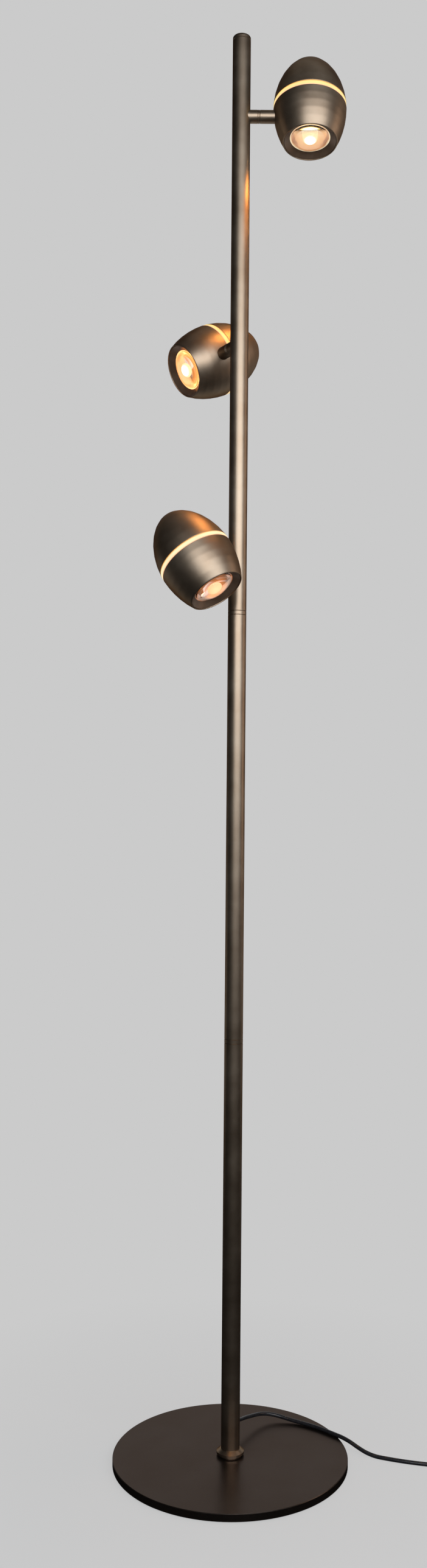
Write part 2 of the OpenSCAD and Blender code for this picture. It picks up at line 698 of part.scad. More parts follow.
module at_switch() translate([(switch_from_x + switch_to_x) / 2, switch_y, 0]) children();

module switch_body() color(black) difference() {
    union() {
        at_switch() hull() {
            switch_corners(switch_edge / 3, 0);
            switch_corners(0, switch_edge);
            switch_corners(0, switch_h - 2 * switch_edge);
            switch_corners(switch_edge, switch_h - switch_slab_h);
        }
        for (side = [0, 180]) at_switch() rotate([0, 0, side])
            translate([-switch_len / 2 - boot_len, 0, cord_switch_z]) boot(switch_boot_r);
    }
    at_switch() rod(button_hole_r, button_bottom - button_travel - 1, switch_h + 1);
}

module switch_button() color([0.12, 0.12, 0.13]) at_switch() rotate_extrude() polygon([
    [0, button_bottom], [button_d / 2, button_bottom], [button_d / 2, button_top - button_edge],
    [button_d / 2 - button_edge, button_top], [0, button_top]]);

// A strap round all the turns at one side of the coil
module coil_tie() color([0.1, 0.1, 0.1])
    translate([coil_centre[0], coil_centre[1], 0]) rotate([0, 0, tie_angle]) difference() {
        translate([coil_r_in - cord_r - tie_gap - tie_thick, -tie_w / 2, 0])
            cube([coil_r_out - coil_r_in + cord_d + 2 * (tie_gap + tie_thick), tie_w,
                  coil_z + coil_rise + cord_r + tie_gap + tie_thick]);
        translate([coil_r_in - cord_r - tie_gap, -tie_w, tie_thick])
            cube([coil_r_out - coil_r_in + cord_d + 2 * tie_gap, 2 * tie_w,
                  coil_z + coil_rise + cord_r + tie_gap - tie_thick]);
    }

// The four corners of the plug at one place along it
module plug_corners(x, w, edge) for (sy = [-1, 1], sz = [-1, 1])
    translate([x, sy * (w / 2 - plug_edge), sz * (plug_h / 2 - plug_edge)]) rotate([0, 90, 0])
        cylinder(r1 = plug_edge, r2 = plug_edge - edge, h = 1, $fn = 20);

module at_plug() translate(coil_end - [coil_lead_out, 0, 0]) rotate([0, 0, 180]) children();

module plug() color(black) at_plug() {
    boot(plug_boot_r);
    translate([boot_len, 0, 0]) hull() {
        plug_corners(0, plug_tail_w, 0);
        plug_corners(plug_len - 1, plug_w, 1);
    }
}

module plug_pins() color(plated) at_plug() for (side = [-1, 1])
    translate([boot_len + plug_len, side * pin_gap / 2, 0]) rotate([0, 90, 0])
        cylinder(d = pin_d, h = pin_len);

// ---------- drawing ----------

base_plate();
base_pad();
foot_bolt();
foot_plug();
pole_collar();
pole_lower();
joiner_lower();
pole_middle();
joiner_upper();
pole_upper();
top_cap();
inner_lead();
cord_grommet();
cord();
switch_body();
switch_button();
cord_tail();
cord_coil();
coil_tie();
plug();
plug_pins();

for (i = [0:2]) {
    at_arm(i) arm_stub();
    at_arm(i) swivel_ring();
    at_arm(i) swivel_bolt();
    at_head(i) swivel_stub();
    at_head(i) front_shell();
    at_head(i) front_cone();
    at_head(i) lens();
    at_head(i) lens_holder();
    at_head(i) led_board();
    at_head(i) board_screws();
    at_head(i) heat_sink();
    at_head(i) glow_ring();
    at_head(i) rear_shell();
}
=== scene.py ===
"""The looks of a free-standing floor lamp with three spot heads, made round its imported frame.

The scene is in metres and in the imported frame's coordinates. Outlines and routes are written in
millimetres. A piece of a head is made in the head's own coordinates, with its mouth towards -Z
and the arm's axis at Z = 0, and is then set at its head.
"""

import json
import math

import bmesh
import bpy
from mathutils import Matrix, Vector


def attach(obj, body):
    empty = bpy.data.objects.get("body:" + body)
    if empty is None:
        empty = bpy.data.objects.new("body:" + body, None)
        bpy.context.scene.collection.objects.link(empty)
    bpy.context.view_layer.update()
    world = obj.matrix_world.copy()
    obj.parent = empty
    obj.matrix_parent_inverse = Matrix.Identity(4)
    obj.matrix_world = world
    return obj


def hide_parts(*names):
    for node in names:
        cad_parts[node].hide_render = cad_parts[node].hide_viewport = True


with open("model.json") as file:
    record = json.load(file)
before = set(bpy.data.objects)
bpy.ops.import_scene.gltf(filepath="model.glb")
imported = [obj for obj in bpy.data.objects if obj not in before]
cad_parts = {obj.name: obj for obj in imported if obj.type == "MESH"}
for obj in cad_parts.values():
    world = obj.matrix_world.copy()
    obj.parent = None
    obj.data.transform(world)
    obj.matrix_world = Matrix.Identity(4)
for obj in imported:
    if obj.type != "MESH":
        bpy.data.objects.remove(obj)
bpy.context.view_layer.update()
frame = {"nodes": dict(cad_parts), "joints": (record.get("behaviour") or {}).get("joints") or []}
nodes = frame["nodes"]
joints = {joint["name"]: joint for joint in frame["joints"]}

MM = 0.001
X_AXIS, Y_AXIS, Z_AXIS = range(3)

# How far each head is turned round its arm at rest, in degrees
AIMS = {"top": -12, "middle": 64, "bottom": 36}

# Profile of a head, in millimetres, with distances from its mouth. The part in front of its
# widest place and the part behind it are superellipses of these powers.
HEAD_R = 40.5
HEAD_LEN = 104
WIDEST_AT = 42.5
MOUTH_R = 30
FRONT_POWER = 1.9
REAR_POWER = 1.87
SHELL_WALL = 2.2
ARM_AT = 32.5
RING_AT = 41.7
RING_END = 47.5

# Pale grey of the floor and of what lies behind the lamp
BACKGROUND = (0.597, 0.597, 0.597, 1)


def add_object(name, data, place=None):
    """Links a new object into the scene, at a place where one is given."""
    piece = bpy.data.objects.new(name, data)
    bpy.context.scene.collection.objects.link(piece)
    if place is not None:
        piece.matrix_world = place
    return piece


# ---------- camera ----------

# Found from the photograph's perspective, in pixels, metres and radians. The shift is a share of
# the photograph's long side.
PHOTO_LONG_SIDE = 2576
FOCAL_PIXELS = 2246.3
CAMERA_AWAY = 1.4826
CAMERA_HEIGHT = 0.6916
CAMERA_PITCH = 0.0371
CAMERA_ROLL = 0.0083
CAMERA_SHIFT = (-0.01431, -0.01393)


def make_camera():
    data = bpy.data.cameras.new("camera")
    data.sensor_fit = "AUTO"
    data.sensor_width = 36
    data.lens = FOCAL_PIXELS / PHOTO_LONG_SIDE * data.sensor_width
    data.shift_x, data.shift_y = CAMERA_SHIFT
    data.clip_start = 0.05
    data.clip_end = 40
    place = (
        Matrix.Translation((0, -CAMERA_AWAY, CAMERA_HEIGHT))
        @ Matrix.Rotation(math.pi / 2 + CAMERA_PITCH, 4, "X")
        @ Matrix.Rotation(CAMERA_ROLL, 4, "Z")
    )
    bpy.context.scene.camera = add_object("camera", data, place)


make_camera()


# ---------- materials ----------


class Nodes:
    """Short calls that add nodes to a node tree and link them."""

    def __init__(self, tree):
        self.tree = tree

    def add(self, kind, **settings):
        node = self.tree.nodes.new(kind)
        for key, value in settings.items():
            setattr(node, key, value)
        return node

    def put(self, socket, value):
        """Links a node's output to a socket, or sets the socket to a plain value."""
        if isinstance(value, bpy.types.NodeSocket):
            self.tree.links.new(value, socket)
        else:
            socket.default_value = value

    def apply(self, kind, *values, **settings):
        """Adds a node with these values at its inputs, in order, and gives its first output."""
        node = self.add(kind, **settings)
        for socket, value in zip(node.inputs, values):
            self.put(socket, value)
        return node.outputs[0]

    def math(self, operation, a, b=0.0, c=0.0):
        return self.apply("ShaderNodeMath", a, b, c, operation=operation)

    def remap(self, value, low, high, to_low, to_high, **settings):
        """Takes low to high over to the new ends, and stays within them."""
        return self.apply("ShaderNodeMapRange", value, low, high, to_low, to_high, **settings)

    def mix_shaders(self, share, a, b):
        return self.apply("ShaderNodeMixShader", share, a, b)

    def split(self, vector):
        """The X, Y and Z of a vector."""
        node = self.add("ShaderNodeSeparateXYZ")
        self.put(node.inputs[0], vector)
        return node.outputs


class Surface(Nodes):
    """A node material with one Principled shader. Its patterns lie in the piece's own place."""

    def __init__(self, name):
        self.material = bpy.data.materials.new(name)
        self.material.use_nodes = True
        super().__init__(self.material.node_tree)
        self.shader = next(n for n in self.tree.nodes if n.type == "BSDF_PRINCIPLED")

    def set(self, **values):
        """Sets or links the shader's inputs, with _ for each space in their names."""
        for key, value in values.items():
            self.put(self.shader.inputs[key.replace("_", " ")], value)

    def place(self):
        return self.add("ShaderNodeTexCoord").outputs["Object"]

    def radius(self, axes):
        """Distance from the piece's own Z axis, in metres."""
        squares = [self.math("MULTIPLY", axis, axis) for axis in axes[:2]]
        return self.math("POWER", self.math("ADD", *squares), 0.5)

    def noise(self, scale, detail, roughness, density=(1, 1, 1)):
        """Noise of 0 to 1, finer along an axis of higher density."""
        mapping = self.add("ShaderNodeMapping")
        self.put(mapping.inputs["Vector"], self.place())
        mapping.inputs["Scale"].default_value = density
        node = self.add("ShaderNodeTexNoise")
        self.put(node.inputs["Vector"], mapping.outputs[0])
        node.inputs["Scale"].default_value = scale
        node.inputs["Detail"].default_value = detail
        node.inputs["Roughness"].default_value = roughness
        return node.outputs["Fac"]

    def ramp(self, fac, *stops):
        """A colour ramp with stops of (place, colour)."""
        node = self.add("ShaderNodeValToRGB")
        self.put(node.inputs["Fac"], fac)
        elements = node.color_ramp.elements
        while len(elements) < len(stops):
            elements.new(0.5)
        for element, (place, colour) in zip(elements, stops):
            element.position = place
            element.color = (*colour, 1)
        return node.outputs["Color"]

    def mix(self, fac, a, b):
        node = self.add("ShaderNodeMix", data_type="RGBA")
        self.put(node.inputs["Factor"], fac)
        self.put(node.inputs["A"], a)
        self.put(node.inputs["B"], b)
        return node.outputs["Result"]

    def bump(self, height, strength, distance):
        """Relief of this depth, in metres."""
        node = self.add("ShaderNodeBump")
        self.put(node.inputs["Height"], height)
        node.inputs["Strength"].default_value = strength
        node.inputs["Distance"].default_value = distance
        self.put(self.shader.inputs["Normal"], node.outputs["Normal"])

    def brush(self, amount, lengthwise):
        """Stretches reflections across fine lines that run along Z, or round it."""
        tangent = self.add("ShaderNodeTangent", direction_type="RADIAL", axis="Z")
        self.set(
            Anisotropic=amount,
            Anisotropic_Rotation=0.0 if lengthwise else 0.25,
            Tangent=tangent.outputs[0],
        )


BRONZE_DARK = (0.315, 0.236, 0.170)
BRONZE_LIGHT = (0.405, 0.322, 0.244)
BRONZE_EDGE_TINT = (0.10, 0.06, 0.04, 1)

# Densities of noise that make fine lines on metal, and how much a plain colour varies
LINES_ROUND = (60, 60, 5200)
LINES_LENGTHWISE = (2600, 2600, 40)
RECESS_LINES = (40, 40, 4200)
CLOUDING = 0.12

# Lit parts of the heads. Radii are in millimetres. The cup's glow is painted light and its darker
# arc painted shade. The arc's place is counted from 0 where the cup's colours start to 1 at its
# rim.
EMITTER_R = 7
CORE_BLUR = 1.2
CUP_LIT_FROM_R = 7.5
CUP_RIM_R = 21.6
ARC_PLACE = 0.66


def bronze(name, roughness, painted_light_scale, brushed=0.0, lengthwise=False):
    """Satin bronze metal with fine lines that run round its Z axis, or lengthwise. Its scale
    paints light and shade, as lighter or darker copies for parts that are lit more or less.
    """
    s = Surface(name)
    cloud = s.noise(38, 4, 0.55)
    # The scale paints light and shade: lighter copies of the bronze for parts lit more, darker for
    # parts lit less.
    dark = tuple(painted_light_scale * c for c in BRONZE_DARK)
    light = tuple(painted_light_scale * c for c in BRONZE_LIGHT)
    s.set(Base_Color=s.ramp(cloud, (0.3, dark), (0.72, light)), Metallic=1.0)
    s.set(Specular_Tint=BRONZE_EDGE_TINT)
    s.set(Roughness=s.remap(cloud, 0.25, 0.8, roughness - 0.03, roughness + 0.05))
    lines = s.noise(1, 3, 0.7, LINES_LENGTHWISE if lengthwise else LINES_ROUND)
    grain = s.noise(2600, 2, 0.5)
    s.bump(s.math("ADD", s.math("MULTIPLY", lines, 0.6), grain), 0.06, 0.04 * MM)
    if brushed:
        s.brush(brushed, lengthwise)
    return s.material


def plain(name, colour, roughness, metallic=0.0, grain=1400, strength=0.15):
    """A moulded or plated surface: slight clouding of its colour and roughness, and fine grain."""
    s = Surface(name)
    cloud = s.noise(60, 4, 0.6)
    darker = tuple(c * (1 - CLOUDING) for c in colour)
    lighter = tuple(c * (1 + CLOUDING) for c in colour)
    s.set(Base_Color=s.ramp(cloud, (0.3, darker), (0.7, lighter)), Metallic=metallic)
    s.set(Roughness=s.remap(cloud, 0.2, 0.8, roughness - 0.04, roughness + 0.06))
    s.bump(s.noise(grain, 3, 0.6), strength, 0.08 * MM)
    return s.material


def base_metal():
    """Dark bronze plate with a faint mottle and a soft gloss."""
    s = Surface("base_metal")
    cloud = s.noise(16, 6, 0.62)
    speck = s.noise(420, 2, 0.5)
    tone = s.math("ADD", s.math("MULTIPLY", cloud, 0.75), s.math("MULTIPLY", speck, 0.25))
    s.set(Base_Color=s.ramp(tone, (0.34, (0.056, 0.042, 0.034)), (0.66, (0.076, 0.060, 0.051))))
    s.set(Metallic=0.95, Roughness=s.remap(tone, 0.3, 0.7, 0.27, 0.36))
    s.set(Specular_Tint=(0.5, 0.42, 0.38, 1), Coat_Weight=0.3, Coat_Roughness=0.3)
    s.bump(s.noise(900, 3, 0.6), 0.12, 0.05 * MM)
    return s.material


def cable_sheath():
    """Smooth black sheath with a soft wet-looking gloss and faint waviness."""
    s = Surface("cable_sheath")
    wave = s.noise(160, 3, 0.5)
    s.set(Base_Color=s.ramp(wave, (0.3, (0.010, 0.010, 0.012)), (0.7, (0.017, 0.017, 0.020))))
    s.set(Roughness=s.remap(wave, 0.3, 0.7, 0.22, 0.34))
    s.bump(wave, 0.1, 0.1 * MM)
    return s.material


def glowing_ring(name, strength, middle):
    """Translucent ring lit from inside: pale in its middle and orange at both its edges."""
    s = Surface(name)
    height = s.split(s.place())[Z_AXIS]
    across = s.remap(height, (RING_AT - ARM_AT) * MM, (RING_END - ARM_AT) * MM, 0, 1)
    colour = s.ramp(
        across,
        (0.0, (0.75, 0.30, 0.15)),
        (0.10, (1.0, 0.66, 0.40)),
        (0.24, middle),
        (0.72, middle),
        (0.89, (0.88, 0.42, 0.06)),
        (1.0, (0.50, 0.13, 0.01)),
    )
    cloud = s.noise(90, 3, 0.5)
    s.set(Base_Color=(0.22, 0.13, 0.06, 1), Roughness=0.45, Emission_Color=colour)
    s.set(Emission_Strength=s.remap(cloud, 0.3, 0.7, strength * 0.95, strength * 1.05))
    return s.material


def clear_lens(name, glow=None, none_at=0, full_at=0):
    """Clear moulded lens. A glow is painted light that stands for light scattered in it, none at
    one radius and full at the other, in millimetres."""
    s = Surface(name)
    s.set(Base_Color=(1.0, 0.985, 0.96, 1), Roughness=0.04, IOR=1.45, Transmission_Weight=1.0)
    if glow:
        share = s.remap(s.radius(s.split(s.place())), none_at * MM, full_at * MM, 0, 1)
        s.set(Emission_Color=(*glow, 1), Emission_Strength=share)
    return s.material


def painted_glow_cup(name, stops, painted_shade_arc_colour, arc_axis):
    """Inner face of the cup behind the lens, with the light from the source in its middle painted
    on as a glow. A darker arc of painted shade lies on both sides of the middle along one axis."""
    s = Surface(name)
    axes = s.split(s.place())
    radius = s.radius(axes)
    patches = s.remap(s.noise(120, 2, 0.4), 0.3, 0.7, -0.06, 0.06)
    share = s.remap(radius, CUP_LIT_FROM_R * MM, CUP_RIM_R * MM, 0, 1)
    place = s.math("ADD", share, patches)
    side = s.math("DIVIDE", s.math("ABSOLUTE", axes[arc_axis]), radius)
    from_arc = s.math("ABSOLUTE", s.math("SUBTRACT", place, ARC_PLACE))
    arc = s.math("MULTIPLY", s.remap(side, 0.6, 0.85, 0, 1), s.remap(from_arc, 0.08, 0.2, 1, 0))
    # Painted light: the cup's colour stands for the source's light on it, with a painted bright rim
    # and an arc of painted shade.
    colour = s.mix(arc, s.ramp(place, *stops), (*painted_shade_arc_colour, 1))
    s.set(Base_Color=(0.30, 0.22, 0.16, 1), Roughness=0.3)
    s.set(Emission_Color=colour, Emission_Strength=1.0)
    return s.material


def light_source(name, strength, core_r, stops):
    """The light source: strongest within the core's radius, with colours from middle to edge."""
    s = Surface(name)
    radius = s.radius(s.split(s.place()))
    s.set(Base_Color=(0.5, 0.42, 0.30, 1), Roughness=0.4)
    s.set(Emission_Color=s.ramp(s.remap(radius, 0, EMITTER_R * MM, 0, 1), *stops))
    core_end = core_r + CORE_BLUR
    s.set(Emission_Strength=s.remap(radius, core_r * MM, core_end * MM, strength, 1))
    return s.material


def shaded_recess_bronze():
    """The cone inside the mouth: a darker, less metallic copy of the bronze that paints the
    recess's shade into its colour, with fine turned lines.
    """
    s = Surface("shaded_recess_bronze")
    cloud = s.noise(70, 3, 0.5)
    # Painted shade: the recess's darkness is part of this colour.
    s.set(Base_Color=s.ramp(cloud, (0.3, (0.125, 0.080, 0.052)), (0.7, (0.175, 0.118, 0.080))))
    s.set(Metallic=0.55, Roughness=s.remap(cloud, 0.3, 0.7, 0.30, 0.38))
    s.bump(s.noise(1, 3, 0.7, RECESS_LINES), 0.1, 0.05 * MM)
    return s.material


MATERIALS = {
    # Painted light and shade: the collar and shells are scaled lighter and the pole darker.
    "pole": bronze("pole_bronze", 0.40, painted_light_scale=0.95, brushed=0.3, lengthwise=True),
    "shell": bronze("shell_bronze", 0.46, painted_light_scale=1.06, brushed=0.2),
    "arm": bronze("arm_bronze", 0.42, painted_light_scale=1.0),
    "recess": shaded_recess_bronze(),
    "collar": bronze("collar_bronze", 0.34, painted_light_scale=1.2),
    "base": base_metal(),
    "cable": cable_sheath(),
    "lens": clear_lens("clear_lens"),
    # Painted glows of light scattered in the lenses of the middle and bottom heads.
    "edge_glow_painted_lens": clear_lens("edge_glow_painted_lens", (0.36, 0.12, 0.028), none_at=8, full_at=18),
    "core_glow_painted_lens": clear_lens("core_glow_painted_lens", (0.24, 0.075, 0.02), none_at=15, full_at=9.5),
    "steel": plain("zinc_steel", (0.62, 0.62, 0.64), 0.32, 1.0),
    "nickel": plain("nickel", (0.72, 0.69, 0.64), 0.22, 1.0, 900, 0.08),
    "alloy": plain("cast_alloy", (0.60, 0.61, 0.63), 0.42, 1.0, 700, 0.3),
    "pad": plain("pad_foam", (0.035, 0.035, 0.036), 0.9, 0.0, 1100, 0.6),
    "rubber": plain("black_rubber", (0.016, 0.016, 0.017), 0.55, 0.0, 1800, 0.25),
    "moulding": plain("black_moulding", (0.017, 0.017, 0.019), 0.42, 0.0, 2300, 0.35),
    "tie": plain("tie_fabric", (0.028, 0.028, 0.030), 0.85, 0.0, 1500, 0.8),
}


def dress(key, *names):
    """Gives CAD nodes their material."""
    for name in names:
        slots = nodes[name].data.materials
        slots.clear()
        slots.append(MATERIALS[key])


# ---------- mesh helpers ----------

LATHE_STEPS = 128
ON_AXIS = 1e-6
SHARP_ANGLE = 28
LENS_SHARP_ANGLE = 60


def smooth(mesh, sharp_angle=SHARP_ANGLE):
    """Smooth shading, where an edge that bends more than the angle in degrees stays sharp."""
    mesh.shade_smooth()
    mesh.set_sharp_from_angle(angle=math.radians(sharp_angle))


def lathe(name, outline, material, place, sharp_angle):
    """Turns a closed outline of (radius, height) in metres round Z. Points on the axis close up."""
    mesh = bpy.data.meshes.new(name)
    work = bmesh.new()
    turns = [2 * math.pi * k / LATHE_STEPS for k in range(LATHE_STEPS)]
    rings = []
    for radius, height in outline:
        if radius < ON_AXIS:
            rings.append([work.verts.new((0, 0, height))] * LATHE_STEPS)
        else:
            rings.append([
                work.verts.new((radius * math.cos(a), radius * math.sin(a), height)) for a in turns
            ])
    for a, b in zip(rings, rings[1:] + rings[:1]):
        for k in range(LATHE_STEPS):
            n = (k + 1) % LATHE_STEPS
            corners = list(dict.fromkeys((a[k], a[n], b[n], b[k])))
            if len(corners) > 2:
                work.faces.new(corners)
    bmesh.ops.recalc_face_normals(work, faces=work.faces)
    work.to_mesh(mesh)
    work.free()
    smooth(mesh, sharp_angle)
    mesh.materials.append(material)
    return add_object(name, mesh, place)


def cut_hole(piece, radius, start, end):
    """Cuts a round hole along the piece's own X axis, from start to end."""
    mesh = bpy.data.meshes.new("cutter")
    work = bmesh.new()
    bmesh.ops.create_cone(
        work, cap_ends=True, segments=64, radius1=radius, radius2=radius, depth=end - start
    )
    bmesh.ops.rotate(work, verts=work.verts, matrix=Matrix.Rotation(math.pi / 2, 3, "Y"))
    bmesh.ops.translate(work, verts=work.verts, vec=((start + end) / 2, 0, 0))
    work.to_mesh(mesh)
    work.free()
    cutter = add_object("cutter", mesh, piece.matrix_world.copy())
    modifier = piece.modifiers.new("hole", "BOOLEAN")
    modifier.operation = "DIFFERENCE"
    modifier.solver = "EXACT"
    modifier.object = cutter
    graph = bpy.context.evaluated_depsgraph_get()
    cut = bpy.data.meshes.new_from_object(piece.evaluated_get(graph))
    piece.modifiers.clear()
    old = piece.data
    piece.data = cut
    bpy.data.meshes.remove(old)
    bpy.data.objects.remove(cutter)
    smooth(piece.data)


# ---------- cord ----------

CORD_R = 2.1 * MM

# The cord's route in millimetres: from the back of the pole, over the base's rim and to the foot
# switch; through the switch, where it dips under the button; and from there towards the coil
CORD_ROUTE = [
    (0, 13, 30), (0, 20, 30), (1.5, 29, 29), (5.5, 38.5, 27.5), (11, 47.5, 25),
    (17, 57, 23), (24, 66, 21), (32, 75, 19), (41, 80.5, 17), (51, 81.5, 15),
    (61, 79, 13.3), (71, 75, 12), (80, 70.5, 11.5), (89, 65, 11.4), (98, 58.5, 11.4),
    (106.5, 51, 11.4), (114.5, 43.5, 11.4), (122, 36.5, 11.3), (130, 29.5, 9.8), (138.5, 23, 6.6),
    (147, 17.5, 3.8), (156.5, 12.5, 2.3), (167, 8, 2.2), (178, 4, 2.2), (189, 0.5, 2.2),
    (200.5, -2.5, 2.2), (212, -5, 2.2), (223.5, -7.5, 2.3), (235, -9, 3.2), (245, -10, 4.6),
    (252, -10, 5), (258, -10, 5),
]
SWITCH_ROUTE = [
    (270, -10, 4.8), (284, -10, 3.4), (300, -10, 2.9), (336, -10, 2.9), (352, -10, 3.4),
    (366, -10, 4.8),
]
TAIL_ROUTE = [
    (378, -10, 5), (384, -10, 5), (391.5, -8.5, 4.5), (398, -4.5, 3.9), (402.8, 0.5, 3.4),
    (405.8, 7, 3), (407, 14.5, 2.8), (407, 25, 2.8), (407, 36, 2.8), (407, 48, 2.8),
]

# The coil, in millimetres and in turns
COIL_OUTER_R = 36
COIL_PITCH = 4.7
COIL_TURNS = 8.25
COIL_CLIMB_TURNS = 0.5
COIL_LEAD_IN = 6
COIL_LEAD_OUT = 18
COIL_POINTS_PER_TURN = 24


def climb(x):
    """Goes from 0 to 1 with a soft start and end."""
    return (1 - math.cos(math.pi * min(1, max(0, x)))) / 2


def coil_points():
    """The coil's turns, which run in on the lower layer and out again on the upper one."""
    start = Vector(TAIL_ROUTE[-1])
    centre = start + Vector((-COIL_OUTER_R, COIL_LEAD_IN, 0))
    half = COIL_TURNS / 2
    inner_r = COIL_OUTER_R - COIL_PITCH * half
    points = []
    for k in range(round(COIL_POINTS_PER_TURN * COIL_TURNS) + 1):
        turns = k / COIL_POINTS_PER_TURN
        radius = inner_r + COIL_PITCH * abs(turns - half)
        angle = 2 * math.pi * turns
        rise = COIL_PITCH * climb((turns - half) / COIL_CLIMB_TURNS + 0.5)
        points.append(centre + Vector((radius * math.cos(angle), radius * math.sin(angle), rise)))
    end = points[-1]
    before_plug = COIL_LEAD_OUT - 2 * CORD_R / MM
    return points + [end - Vector((x, 0, 0)) for x in (before_plug, COIL_LEAD_OUT)]


def rounded(points, parts):
    """The same route on a smooth curve, with each stretch between two points in so many parts."""
    points = [Vector(p) for p in points]
    padded = [2 * points[0] - points[1], *points, 2 * points[-1] - points[-2]]
    out = []
    for a, b, c, d in zip(padded, padded[1:], padded[2:], padded[3:]):
        for k in range(parts):
            t = k / parts
            out.append(
                0.5 * (2 * b + (c - a) * t + (2 * a - 5 * b + 4 * c - d) * t * t
                       + (3 * b - a - 3 * c + d) * t * t * t)
            )
    return out + [points[-1]]


def make_cord():
    """One unbroken cord from the pole, through the foot switch and its coil, to the plug."""
    to_coil = rounded(CORD_ROUTE + SWITCH_ROUTE + TAIL_ROUTE, parts=4)[:-1]
    route = [p * MM for p in to_coil + rounded(coil_points(), parts=3)]
    data = bpy.data.curves.new("mains_cord", "CURVE")
    data.dimensions = "3D"
    data.bevel_depth = CORD_R
    data.bevel_resolution = 5
    data.use_fill_caps = True
    spline = data.splines.new("POLY")
    spline.points.add(len(route) - 1)
    for point, place in zip(spline.points, route):
        point.co = (*place, 1)
    spline.use_smooth = True
    data.materials.append(MATERIALS["cable"])
    cord = add_object("mains_cord", data)
    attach(cord, "stand")
    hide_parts("cord", "cord_tail", "cord_coil")


make_cord()


# ---------- heads ----------


def dome(t, radius, length):
    """Radius of a dome that is widest at WIDEST_AT and closes at the length."""
    share = max(0, 1 - ((t - WIDEST_AT) / (length - WIDEST_AT)) ** REAR_POWER)
    return radius * share ** (1 / REAR_POWER)


def head_radius(t):
    """Outer radius of a head at a distance behind its mouth, in millimetres."""
    if t >= WIDEST_AT:
        return dome(t, HEAD_R, HEAD_LEN)
    cut = (1 - (MOUTH_R / HEAD_R) ** FRONT_POWER) ** (1 / FRONT_POWER)
    share = 1 - ((WIDEST_AT - t) / WIDEST_AT * cut) ** FRONT_POWER
    return HEAD_R * share ** (1 / FRONT_POWER)


def dome_stations(start, end, count):
    """Distances from start to end that lie closer towards the end, where a dome curves most."""
    return [start + (end - start) * math.sin(math.pi / 2 * k / count) for k in range(count + 1)]


def banded(stations, flatness):
    """The head's outline from the first station to before the last, with a turned band between
    each two. A flatness of 0 follows the head's curve and 1 makes straight bands."""
    points = []
    for a, b in zip(stations, stations[1:]):
        ra, rb = head_radius(a), head_radius(b)
        for k in range(BAND_PARTS):
            share = k / BAND_PARTS
            t = a + (b - a) * share
            flat = ra + (rb - ra) * share
            points.append((flat * flatness + head_radius(t) * (1 - flatness), t))
    return points


def to_head(points):
    """Turns (radius, distance from the mouth) in millimetres into (radius, height) in metres."""
    return [(radius * MM, (t - ARM_AT) * MM) for radius, t in points]


def head_place(head):
    """Where a head's own coordinates stand at rest."""
    joint = joints[f"head_{head}_swivel"]
    x, y, _ = joint["axis"]
    return (
        Matrix.Translation(joint["pos_m"])
        @ Matrix.Rotation(math.atan2(y, x), 4, "Z")
        @ Matrix.Rotation(math.radians(AIMS[head]), 4, "X")
    )


# The parts of a head that are turned: radii, and distances behind the mouth, in millimetres
FRONT_BANDS = 5
REAR_BANDS = 8
BAND_PARTS = 6
FRONT_FLATNESS = 0.98
REAR_FLATNESS = 0.75
LIP_BORE_R = 29
INSERT_DEPTH = 10
INSERT_STOP = 1.5
INSERT_GAP = 0.1
INNER_STATIONS = (36.6, 31, 25, 19, 12)
REAR_INNER_PARTS = 14
SEAT_R = head_radius(RING_AT) - SHELL_WALL - 0.7
SEAT_DEPTH = 4.2
ARM_HOLE_R = 6.35
ARM_HOLE_REACH = 1.2 * HEAD_R
SEAM_INSET = 0.3
SEAM_CHAMFER = 0.35
SEAM_EASE = 0.02
RING_CROWN_INSET = 0.12
RING_DEPTH = 8
SLEEVE_R = 23
WINDOW_R = 22.2
LENS_AT = 5.8
LENS_EDGE = 2
LENS_R = 22.9
LENS_DOME_R = 21.9
LENS_DOME_H = 7.5
LENS_DOME_PARTS = 32
EMITTER_TOP = 3.6
EMITTER_PARTS = 16
HOLDER_AT = 7.85
HOLDER_R = 22.85
HOLDER_NECK_R = 9.1
CUP_BORE_R = 7.8
HOLDER_GAP = 0.1
BOARD_R = 17
BOARD_AT = 14
BOARD_END = 15.6
BOARD_ROUNDING = 0.2


def seam_edge(at, towards_shell):
    """A shell's chamfered edge at the glowing ring, from its skin to the seam."""
    skin_r = head_radius(at)
    return [(skin_r - SEAM_EASE, at + towards_shell * SEAM_CHAMFER), (skin_r - SEAM_INSET, at)]


def front_outline():
    """The front shell: its rounded lip, turned bands and wall, and the stop for what is inside."""
    lip = [
        (LIP_BORE_R, 0.6), (LIP_BORE_R + 0.12, 0.18), (LIP_BORE_R + 0.4, 0),
        (MOUTH_R - 0.5, 0), (MOUTH_R - 0.15, 0.1), (head_radius(0.5), 0.5),
    ]
    stations = [RING_AT * k / FRONT_BANDS for k in range(FRONT_BANDS + 1)]
    skin = [(r, t) for r, t in banded(stations, FRONT_FLATNESS) if t > 1]
    seat = [(SEAT_R, RING_AT), (SEAT_R, RING_AT - SEAT_DEPTH)]
    wall = [(head_radius(t) - SHELL_WALL, t) for t in INNER_STATIONS]
    stop_r = LIP_BORE_R - INSERT_STOP
    stop = [(stop_r, INNER_STATIONS[-1]), (stop_r, INSERT_DEPTH), (LIP_BORE_R, INSERT_DEPTH)]
    return to_head(lip + skin + seam_edge(RING_AT, -1) + seat + wall + stop)


